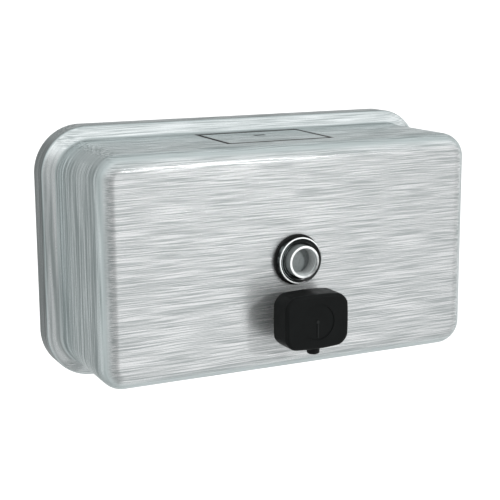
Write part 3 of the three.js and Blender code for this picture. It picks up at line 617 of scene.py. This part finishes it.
edgeValues = {
    "wall_plate": ("wallPlate", 0.25, galvanised),
    "hanger_left": ("hangerLeft", 0.25, galvanised),
    "hanger_right": ("hangerRight", 0.25, galvanised),
    "lock_nut": ("lockNut", 0.2, galvanised),
    "lock_screw": ("lockScrew", 0.2, brightSteel),
    "back_plate": ("backPlate", 0.2, steel),
    # the frame under the lid is darkened as painted shade
    "filler_frame": ("fillerFrame", 0.15, innerSteelPaintedShade),
    "filler_lid": ("fillerLid", 0.12, lidSteel),
    "latch_clamp": ("latchClamp", 0.2, brightSteel),
    "latch_leaf": ("latchLeaf", 0.08, brightSteel),
    "window_nut": ("windowNut", 0.4, black),
    "valve_nut": ("valveNut", 0.4, black),
    "window_washer": ("windowWasher", 0.15, brightSteel),
    "valve_washer": ("valveWasher", 0.15, brightSteel),
    "inlet_fitting": ("inletFitting", 0.2, naturalPlastic),
}


lidValues = {
    "brim": 0.3 * mm,           # of painted shade along the cut edge
    "slotHalfLength": 3.2 * mm,
    "slotHalfWidth": 1.4 * mm,
}


def brokenEdges(node):
    name, width, material = edgeValues[node]
    part = frame["nodes"][node]
    bm = bmesh.new()
    bm.from_mesh(part.data)
    bmesh.ops.remove_doubles(bm, verts=bm.verts, dist=0.001 * mm)
    bmesh.ops.dissolve_limit(bm, angle_limit=math.radians(0.5), verts=bm.verts, edges=bm.edges)
    mesh = meshFrom(name, bm, recalc=False)
    mesh.materials.clear()
    bodyName = part["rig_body"]
    finishes = [material]
    if node == "filler_lid":
        # brushed on top, dull beneath, with painted shade round the sheet's cut edge and the key slot
        finishes += [gapPaintedShade, dullSteel]
        low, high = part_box(node)
        brim = lidValues["brim"]
        slotY = high.y - openingValues["slotSetback"]

        def lidFinish(middle, normal):
            if normal.z > 0.9:
                return 0
            atEdge = abs(middle.x) > high.x - brim or middle.y < low.y + brim
            alongSlot = abs(middle.x) < lidValues["slotHalfLength"]
            atSlot = alongSlot and abs(middle.y - slotY) < lidValues["slotHalfWidth"]
            return 1 if (atEdge or atSlot) and abs(normal.z) < 0.5 else 2

        paintFaces(mesh, lidFinish)
    piece = addPiece(name, mesh, finishes, bodyName, [node], 35)
    edges = piece.modifiers.new("brokenEdges", "BEVEL")
    edges.width = width * mm
    edges.segments = 2
    edges.limit_method = "ANGLE"
    edges.angle_limit = math.radians(40)
    edges.harden_normals = True


for node in edgeValues:
    brokenEdges(node)
print("edges broken on", len(edgeValues), "pieces")


# sight window

windowValues = {
    "gasketEdge": 0.3 * mm,
    "gap": 0.3 * mm,            # round the sleeve and the lens, and behind the bezel
    "bezelLip": 0.45 * mm,      # pale rounded edge of the bezel, a painted highlight
    "bezelDish": 0.5 * mm,
    "lensWall": 1.0 * mm,
    "lensLip": 0.25 * mm,
    "ribs": 5,
    "ribDepth": 0.42 * mm,
    "floorSetback": 1.0 * mm,   # in front of the tank's face
    "floorCrown": 0.5 * mm,
    "arcPitch": 1.15 * mm,      # of the painted light arcs in the bezel
    "arcFade": (3.0 * mm, 8.0 * mm),
    "paleColor": (0.74, 0.76, 0.76),
    "paleShade": (0.035, 0.04, 0.04),
}


def roundCorner(centre, radius, start, end, steps=5):
    points = []
    for step in range(steps + 1):
        angle = math.radians(start + (end - start) * step / steps)
        points.append((centre[0] + radius * math.cos(angle), centre[1] + radius * math.sin(angle)))
    return points


def windowPieces():
    v = windowValues
    low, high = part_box("window_gasket")
    z = (low.z + high.z) / 2
    outer, edge, gap = high.x, v["gasketEdge"], v["gap"]
    bezelLow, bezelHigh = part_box("window_bezel")
    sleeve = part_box("window_lens")[1].x + tankValues["windowSleeve"]
    profile = [(sleeve + gap, low.y)]
    profile += roundCorner((outer - edge, low.y + edge), edge, -90, 0)
    profile += roundCorner((outer - edge, high.y - edge), edge, 0, 90)
    profile += [(sleeve + gap, high.y)]
    mesh = turnedMesh("windowGasket", profile, z)
    addPiece("windowGasket", mesh, [rubber], "dispenser", ["window_gasket"])

    front, back, radius = bezelLow.y, low.y - gap, bezelHigh.x
    lip, dish = v["bezelLip"], v["bezelDish"]
    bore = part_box("window_lens")[1].x + gap
    profile = [(bore, front + 1.3 * mm), (bore + 0.5 * mm, front + dish + 0.2 * mm)]
    profile += [(bore + 1.0 * mm, front + dish)]
    profile += [(radius - 3.2 * lip, front + dish), (radius - 2.4 * lip, front + 0.1 * mm)]
    profile += roundCorner((radius - lip, front + lip), lip, -110, 0, 8)
    profile += [(radius, back - 0.2 * mm), (radius - 0.2 * mm, back), (sleeve, back)]
    profile += [(sleeve, bezelHigh.y), (bore, bezelHigh.y)]
    mesh = turnedMesh("windowBezel", profile, z, 128)

    # the bezel's rounded lip gets the painted highlight
    def bezelFinish(middle, normal):
        out = math.hypot(middle.x, middle.z - z)
        onLip = out > radius - 1.75 * lip and middle.y < front + 0.6 * lip
        return 1 if onLip else 0

    paintFaces(mesh, bezelFinish)
    addPiece("windowBezel", mesh, [bezelGlass, paleEdge], "dispenser", ["window_bezel"], 50)

    lensLow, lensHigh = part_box("window_lens")
    lensRadius, boreRadius = lensHigh.x, lensHigh.x - v["lensWall"]
    lip, floorY = v["lensLip"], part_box("tank_shell")[0].y - v["floorSetback"]
    ribTip = boreRadius - v["ribDepth"]
    profile = [(0, floorY - v["floorCrown"]), (boreRadius * 0.5, floorY - 0.7 * v["floorCrown"])]
    profile += [(boreRadius - 0.5 * mm, floorY)]
    pitch = (floorY - lensLow.y - 0.9 * mm) / v["ribs"]
    for index in range(v["ribs"]):
        y = floorY - pitch * index
        profile += [(boreRadius, y - 0.1 * pitch), (boreRadius, y - 0.45 * pitch)]
        profile += [(ribTip, y - 0.6 * pitch), (ribTip, y - 0.9 * pitch)]
    profile += [(boreRadius, lensLow.y + 0.7 * mm)]
    profile += roundCorner((boreRadius + lip, lensLow.y + lip), lip, 180, 270, 4)
    profile += roundCorner((lensRadius - lip, lensLow.y + lip), lip, -90, 0, 4)
    profile += [(lensRadius, lensHigh.y), (boreRadius, lensHigh.y)]
    profile += [(boreRadius, floorY + 2 * mm), (0, floorY + 2 * mm)]
    mesh = turnedMesh("windowLens", profile, z, 128)

    # the lens lip and rib tips get painted highlights; the tube's outside gets the bezel's painted dark
    def lensFinish(middle, normal):
        out = math.hypot(middle.x, middle.z - z)
        inward = normal.x * middle.x + normal.z * (middle.z - z) < 0
        if middle.y < lensLow.y + 0.6 * mm:
            return 1
        if middle.y > floorY - 0.05 * mm or out < ribTip - 0.05 * mm:
            return 2
        if not inward and out > boreRadius + 0.5 * mm:
            return 3
        return 4 if out < boreRadius - 0.6 * v["ribDepth"] else 0

    paintFaces(mesh, lensFinish)
    finishes = [lensWall, paleEdge, lensFloor, bezelGlass, lensRib]
    addPiece("windowLens", mesh, finishes, "dispenser", ["window_lens"], 50)


# painted dark glossy ring, for the shade inside seen through the clear plastic, with painted pale arcs of
# light where the clear plastic bends the light
def bezelGlassFinish():
    material, tree, shader = newMaterial("bezelGlass", (0.005, 0.006, 0.006), 0.07, 0.0, 0.5)
    point = objectPoint(tree)
    middle = centreOf("window_lens")
    mapping = addNode(tree, "ShaderNodeMapping", _0=point)
    mapping.inputs["Location"].default_value = (0, 0, -middle.z)
    place = addNode(tree, "ShaderNodeSeparateXYZ", _0=mapping.outputs[0])
    flat = addNode(tree, "ShaderNodeCombineXYZ", _0=place.outputs[0], _2=place.outputs[2])
    out = addNode(tree, "ShaderNodeVectorMath", {"operation": "LENGTH"}, _0=flat.outputs[0]).outputs[1]
    angle = mathNode(tree, "ARCTAN2", place.outputs[2], place.outputs[0])
    rings = mathNode(tree, "SINE", mathNode(tree, "MULTIPLY", out, math.tau / windowValues["arcPitch"]))
    along, outward = mathNode(tree, "MULTIPLY", angle, 1.6), mathNode(tree, "MULTIPLY", out, 900)
    polar = addNode(tree, "ShaderNodeCombineXYZ", _0=along, _1=outward)
    broken = addNode(tree, "ShaderNodeTexNoise", Vector=polar.outputs[0])
    broken.inputs["Scale"].default_value = 1.4
    pattern = mathNode(tree, "ADD", mathNode(tree, "MULTIPLY", rings, 0.35), broken.outputs[0])
    # only on the left side, fading to the top and the bottom
    leftward = mathNode(tree, "MULTIPLY", place.outputs[0], -1)
    fadeFrom, fadeTo = windowValues["arcFade"]
    side = remap(tree, leftward, fadeFrom, fadeTo, 0, 1, True)
    arcs = mathNode(tree, "MULTIPLY", remap(tree, pattern, 0.45, 0.8, 0, 1, True), side)
    color = mixColors(tree, arcs, (0.004, 0.005, 0.005, 1), (0.20, 0.23, 0.23, 1))
    tree.links.new(color, shader.inputs["Base Color"])
    tree.links.new(remap(tree, arcs, 0, 1, 0.06, 0.2), shader.inputs["Roughness"])
    addBump(tree, shader, pattern, 0.02 * mm, 0.4)
    return material


# painted highlight on the pale rounded lips, lit from the upper left, with painted shade at the lower right
def paleEdgeFinish():
    pale, shade = windowValues["paleColor"], windowValues["paleShade"]
    material, tree, shader = newMaterial("paleEdge", pale, 0.15)
    mapping = addNode(tree, "ShaderNodeMapping", _0=objectPoint(tree))
    mapping.inputs["Location"].default_value = (0, 0, -centreOf("window_lens").z)
    place = addNode(tree, "ShaderNodeSeparateXYZ", _0=mapping.outputs[0])
    leftward = mathNode(tree, "MULTIPLY", place.outputs[0], -0.85)
    lit = mathNode(tree, "ADD", leftward, mathNode(tree, "MULTIPLY", place.outputs[2], 0.5))
    broken = stretchedNoise(tree, mapping.outputs[0], (420, 420, 420), 3, 0.6)
    uneven = mathNode(tree, "MULTIPLY", mathNode(tree, "SUBTRACT", broken, 0.5), 6 * mm)
    lit = mathNode(tree, "ADD", lit, uneven)
    tone = remap(tree, lit, -9 * mm, -1.5 * mm, 0, 1, True)
    color = mixColors(tree, tone, (*shade, 1), (*pale, 1))
    tree.links.new(color, shader.inputs["Base Color"])
    tree.links.new(remap(tree, broken, 0.3, 0.7, 0.12, 0.2), shader.inputs["Roughness"])
    return material


bezelGlass = bezelGlassFinish()
paleEdge = paleEdgeFinish()
windowPieces()
print("window made")


# push button and spout

buttonValues = {
    "back": -77.0 * mm,
    "corner": 4.8 * mm,
    "fillet": 1.7 * mm,
    "bulge": 0.5 * mm,          # of its sides
    "crown": 1.2 * mm,          # of its top and bottom
    "wall": 1.5 * mm,
    "perCorner": 12,
    "sideCuts": 7,
    "thumbRadius": 8.4 * mm,
    "thumbDepth": 0.45 * mm,
    "nubRadius": 0.75 * mm,
    "nubHeight": 0.3 * mm,
    "ribWidth": 0.5 * mm,
    "ribLength": 6.0 * mm,
    "ribHeight": 0.4 * mm,
    "ribDrop": 1.2 * mm,        # below the middle
    "markRoot": 0.2 * mm,       # of the nub and the rib in the face
    "bossRadius": 4.6 * mm,
    "bossSetback": 7.6 * mm,    # in front of the gland cap
    "dropRadius": 4.4 * mm,
    "spoutAt": 4.7 * mm,        # behind the front
    "spoutSocket": 7.0 * mm,
    "spoutHole": 3.25 * mm,
    "stemHole": 3.3 * mm,
    "socketGap": 0.3 * mm,      # at the end of either socket
    "brokenEdge": 0.12 * mm,
}


# pushes the middles of the four sides out to a soft pillow
def pillow(verts, halfWidth, halfHeight, bulge, crown, z):
    for vert in verts:
        x, up = vert.co.x / halfWidth, (vert.co.z - z) / halfHeight
        reach = max(abs(x), abs(up))
        if abs(x) >= abs(up):
            vert.co.x += math.copysign(bulge * (1 - min(1, abs(up)) ** 2) * reach ** 4, x)
        else:
            vert.co.z += math.copysign(crown * (1 - min(1, abs(x)) ** 2) * reach ** 4, up)


def pushButton():
    v = buttonValues
    low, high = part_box("push_button")
    front, back = low.y, v["back"]
    z = (low.z + high.z) / 2
    halfWidth, halfHeight = (high.x - low.x) / 2 - v["bulge"], (high.z - low.z) / 2 - v["crown"]
    n = v["perCorner"]
    wall = v["wall"]

    bm = bmesh.new()
    straight = []
    for y in (back, front):
        ring = roundedLoop(bm, halfWidth, halfHeight, v["corner"], y, n, z)
        straight += [edge for edge in edgesOf(ring) if edge.calc_length() > v["corner"] * 0.4]
    bmesh.ops.subdivide_edges(bm, edges=straight, cuts=v["sideCuts"])
    rearOut, frontOut = ([vert for vert in bm.verts if abs(vert.co.y - y) < 0.01 * mm] for y in (back, front))
    pillow(bm.verts, halfWidth, halfHeight, v["bulge"], v["crown"], z)
    bridge(bm, rearOut, frontOut)
    bmesh.ops.contextual_create(bm, geom=frontOut)
    roundEdges(bm, edgesAt(bm, front), v["fillet"], 7)
    shell = meshFrom("buttonShell", bm)

    drop = front + v["spoutAt"]
    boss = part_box("plunger_stem")[0].y
    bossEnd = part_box("gland_cap")[0].y - v["bossSetback"]
    bottom = z - halfHeight + wall / 2
    additions = [
        cylinderMesh("boss", v["bossRadius"], (0, front + wall / 2, z), (0, bossEnd, z)),
        cylinderMesh("drop", v["dropRadius"], (0, drop, bottom), (0, drop, z)),
    ]
    thumb = front + v["thumbDepth"]
    socketEnd = z - v["spoutSocket"] + v["socketGap"]
    tools = [
        blockMesh("trim", (-20 * mm, front - 8 * mm, z - 20 * mm), (20 * mm, front, z + 20 * mm)),
        cylinderMesh("stemSocket", v["stemHole"], (0, boss - v["socketGap"], z), (0, 0, z)),
        cylinderMesh("spoutSocket", v["spoutHole"], (0, drop, socketEnd), (0, drop, z - 30 * mm)),
        cylinderMesh("thumbRest", v["thumbRadius"], (0, front - 4 * mm, z), (0, thumb, z), 128),
    ]
    hollow = carve("buttonHollow", shell, tools, additions, wall)
    root, ribTop = thumb + v["markRoot"], z - v["ribDrop"]
    marks = [
        cylinderMesh("nub", v["nubRadius"], (0, thumb - v["nubHeight"], z), (0, root, z), 32),
        blockMesh(
            "rib", (-v["ribWidth"] / 2, thumb - v["ribHeight"], ribTop - v["ribLength"]),
            (v["ribWidth"] / 2, root, ribTop),
        ),
    ]
    mesh = carve("pushButton", hollow, [], marks)

    # the rest's wall and its marks get a painted highlight, a little lighter
    def buttonFinish(middle, normal):
        out = math.hypot(middle.x, middle.z - z)
        onWall = abs(out - v["thumbRadius"]) < 0.1 * mm and middle.y < thumb + 0.05 * mm
        onMarks = out < v["thumbRadius"] - 0.5 * mm and front + 0.02 * mm < middle.y < thumb - 0.05 * mm
        return 1 if onWall or onMarks else 0

    paintFaces(mesh, buttonFinish)
    piece = addPiece("pushButton", mesh, [black, blackPaintedHighlight], "button", ["push_button"], 40)
    edges = piece.modifiers.new("brokenEdges", "BEVEL")
    edges.width = v["brokenEdge"]
    edges.segments = 2
    edges.limit_method = "ANGLE"
    edges.angle_limit = math.radians(50)
    even = piece.modifiers.new("evenShading", "WEIGHTED_NORMAL")
    even.keep_sharp = True


spoutValues = {
    "boreShare": 0.644,
    "edge": 0.9 * mm,
    "lip": 0.35 * mm,
    "steps": 64,
}


def spoutPiece():
    v = spoutValues
    low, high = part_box("spout")
    centre = (low + high) / 2
    radius = (high.x - low.x) / 2
    bore, edge, lip = radius * v["boreShare"], v["edge"], v["lip"]
    profile = [(bore + lip * 0.2, low.z + lip)]
    profile += roundCorner((bore + lip, low.z + lip), lip, 200, 270, 3)
    profile += roundCorner((radius - edge, low.z + edge), edge, -90, 0, 6)
    profile += [(radius, high.z), (bore, high.z)]
    bm = bmesh.new()
    verts = [bm.verts.new((out, 0, z)) for out, z in profile]
    for first, second in zip(verts, verts[1:] + verts[:1]):
        bm.edges.new((first, second))
    bmesh.ops.spin(
        bm, geom=bm.verts[:] + bm.edges[:], cent=(0, 0, 0), axis=(0, 0, 1), dvec=(0, 0, 0),
        angle=math.tau, steps=v["steps"], use_merge=True, use_duplicate=False,
    )
    bmesh.ops.translate(bm, vec=(centre.x, centre.y, 0), verts=bm.verts)
    addPiece("spout", meshFrom("spout", bm), [black], "button", ["spout"], 50)


pushButton()
spoutPiece()
print("button and spout made")


# return spring, made at its rest length

springValues = {
    "wire": 0.4 * mm,
    "coils": 3.5,
    "sides": 12,
    "stepsPerCoil": 32,
}


def returnSpring():
    v = springValues
    low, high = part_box("return_spring")
    steps = round(v["coils"] * v["stepsPerCoil"])
    radius = (high.x - low.x) / 2 - v["wire"]
    start, end = low.y + v["wire"], high.y - v["wire"]
    bm = bmesh.new()
    ring = bmesh.ops.create_circle(bm, segments=v["sides"], radius=v["wire"])["verts"]
    bmesh.ops.translate(bm, vec=(radius, start, 0), verts=ring)
    bmesh.ops.spin(
        bm, geom=ring + edgesOf(ring), cent=(0, 0, 0), axis=(0, -1, 0), dvec=(0, (end - start) / steps, 0),
        angle=math.tau * v["coils"], steps=steps, use_merge=False, use_duplicate=False,
    )
    bmesh.ops.holes_fill(bm, edges=bm.edges[:], sides=v["sides"])
    bmesh.ops.translate(bm, vec=(0, 0, centreOf("piston").z), verts=bm.verts)
    mesh = meshFrom("returnSpring", bm)
    mesh.materials.append(brightSteel)
    mesh.shade_smooth()
    piece = bpy.data.objects.new("returnSpring", mesh)
    bpy.context.scene.collection.objects.link(piece)
    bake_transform(piece)
    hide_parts("return_spring")


returnSpring()
print("spring made")


# camera, floor and light

cameraValues = {
    "place": Vector((-267.608, -566.875, 118.543)) * mm,
    "yaw": 0.455,
    "pitch": 0.200,
    "roll": -0.006,
    "lens": 89.84,
}


def addCamera():
    v = cameraValues
    data = bpy.data.cameras.new("camera")
    data.lens = v["lens"]
    data.sensor_width = 36
    data.clip_start = 0.01
    data.clip_end = 900
    camera = bpy.data.objects.new("camera", data)
    turn = Matrix.Rotation(-v["yaw"], 4, "Z") @ Matrix.Rotation(math.pi / 2 - v["pitch"], 4, "X")
    camera.matrix_world = Matrix.Translation(v["place"]) @ turn @ Matrix.Rotation(v["roll"], 4, "Z")
    bpy.context.scene.collection.objects.link(camera)
    bpy.context.scene.camera = camera


stageValues = {
    "floorDrop": 1.1,           # below the dispenser's middle, as a wall dispenser hangs
    "floorSize": 900,
    "floorColor": (0.93, 0.93, 0.93),
    "floorGlow": 0.55,
    "around": (                 # degrees from the front towards the viewer's right, brightness
        (-180, 0.62), (-154, 0.40), (-130, 0.42), (-104, 0.62), (-80, 0.82), (-60, 0.68),
        (-42, 0.42), (-24, 0.32), (-6, 0.28), (7, 0.34), (19, 1.05), (28, 1.2),
        (37, 0.66), (50, 0.55), (75, 0.70), (110, 0.80), (154, 0.76), (180, 0.62),
    ),
    "over": (                   # degrees from the front up and over to the back, brightness
        (0, 0.95), (30, 0.98), (55, 1.0), (80, 0.80),
        (110, 0.68), (135, 0.44), (160, 0.42), (180, 0.60),
    ),
}


def levelRamp(tree, share, levels, first, last):
    ramp = addNode(tree, "ShaderNodeValToRGB", _0=share)
    ramp.color_ramp.interpolation = "B_SPLINE"
    points = ramp.color_ramp.elements
    points.remove(points[1])
    for index, (angle, level) in enumerate(levels):
        place = (angle - first) / (last - first)
        point = points[0] if index == 0 else points.new(place)
        point.position = place
        point.color = (level, level * 1.005, level * 1.005, 1)
    return ramp.outputs[0]


def addStage():
    v = stageValues
    bm = bmesh.new()
    bmesh.ops.create_grid(bm, x_segments=2, y_segments=2, size=v["floorSize"] / 2)
    bmesh.ops.translate(bm, vec=(0, 0, -v["floorDrop"]), verts=bm.verts)
    floor = bpy.data.objects.new("floor", meshFrom("floor", bm))
    bpy.context.scene.collection.objects.link(floor)
    material, tree, shader = newMaterial("floorPaint", v["floorColor"], 0.8)
    shader.inputs["Emission Color"].default_value = (1, 1, 1, 1)
    shader.inputs["Emission Strength"].default_value = v["floorGlow"]
    floor.data.materials.append(material)
    floor.visible_glossy = False

    # a soft studio round the object: brighter cards in front to the right and at the left, dimmer between
    world = bpy.data.worlds.new("studio")
    world.use_nodes = True
    tree = world.node_tree
    background = tree.nodes["Background"]
    outward = addNode(tree, "ShaderNodeTexCoord").outputs["Generated"]
    toward = addNode(tree, "ShaderNodeSeparateXYZ", _0=outward)
    forward = mathNode(tree, "MULTIPLY", toward.outputs[1], -1)
    turn = mathNode(tree, "ARCTAN2", toward.outputs[0], forward)
    share = remap(tree, turn, -math.pi, math.pi, 0, 1)
    around = levelRamp(tree, share, v["around"], -180, 180)
    rise = mathNode(tree, "ARCTAN2", mathNode(tree, "MAXIMUM", toward.outputs[2], 0.0), forward)
    over = levelRamp(tree, remap(tree, rise, 0, math.pi, 0, 1), v["over"], 0, 180)
    height = remap(tree, toward.outputs[2], 0.12, 0.5, 0, 1, True)
    # straight on it is a plain white backdrop
    seen = addNode(tree, "ShaderNodeLightPath").outputs["Is Camera Ray"]
    color = mixColors(tree, seen, mixColors(tree, height, around, over), (1.1, 1.1, 1.1, 1))
    tree.links.new(color, background.inputs[0])
    background.inputs[1].default_value = 1.0
    bpy.context.scene.world = world


lightValues = {
    "key": {"angle": 23, "height": 13, "distance": 1.6, "size": (0.16, 0.16), "power": 1.1, "glossy": True},
    "fill": {"angle": 23, "height": 13, "distance": 1.6, "size": (0.10, 0.10), "power": 14, "glossy": False},
    "top": {"angle": 30, "height": 75, "distance": 1.8, "size": (1.2, 1.2), "power": 10, "glossy": False},
}


def addLights():
    for name, v in lightValues.items():
        data = bpy.data.lights.new(name, "AREA")
        data.shape = "RECTANGLE"
        data.size, data.size_y = v["size"]
        data.energy = v["power"]
        light = bpy.data.objects.new(name, data)
        side, rise = math.radians(v["angle"]), math.radians(v["height"])
        level = math.cos(rise)
        place = Vector((math.sin(side) * level, -math.cos(side) * level, math.sin(rise))) * v["distance"]
        light.matrix_world = Matrix.Translation(place) @ place.to_track_quat("Z", "Y").to_matrix().to_4x4()
        light.visible_glossy = v["glossy"]
        bpy.context.scene.collection.objects.link(light)


addCamera()
addStage()
addLights()
bpy.context.scene.view_settings.view_transform = "Standard"

# CAD nodes that show as they are
finishOf = {
    "brushed_steel": steel, "galvanised": galvanised, "bright_steel": brightSteel, "black_plastic": black,
    "gloss_black": glossBlack, "clear_plastic": lensWall, "natural_plastic": naturalPlastic, "rubber": rubber,
}
for entry in frame["record"]["subparts"]:
    mesh = frame["nodes"][entry["node"]].data
    mesh.materials.clear()
    mesh.materials.append(finishOf[entry["material_slot"]])

print("scene made")
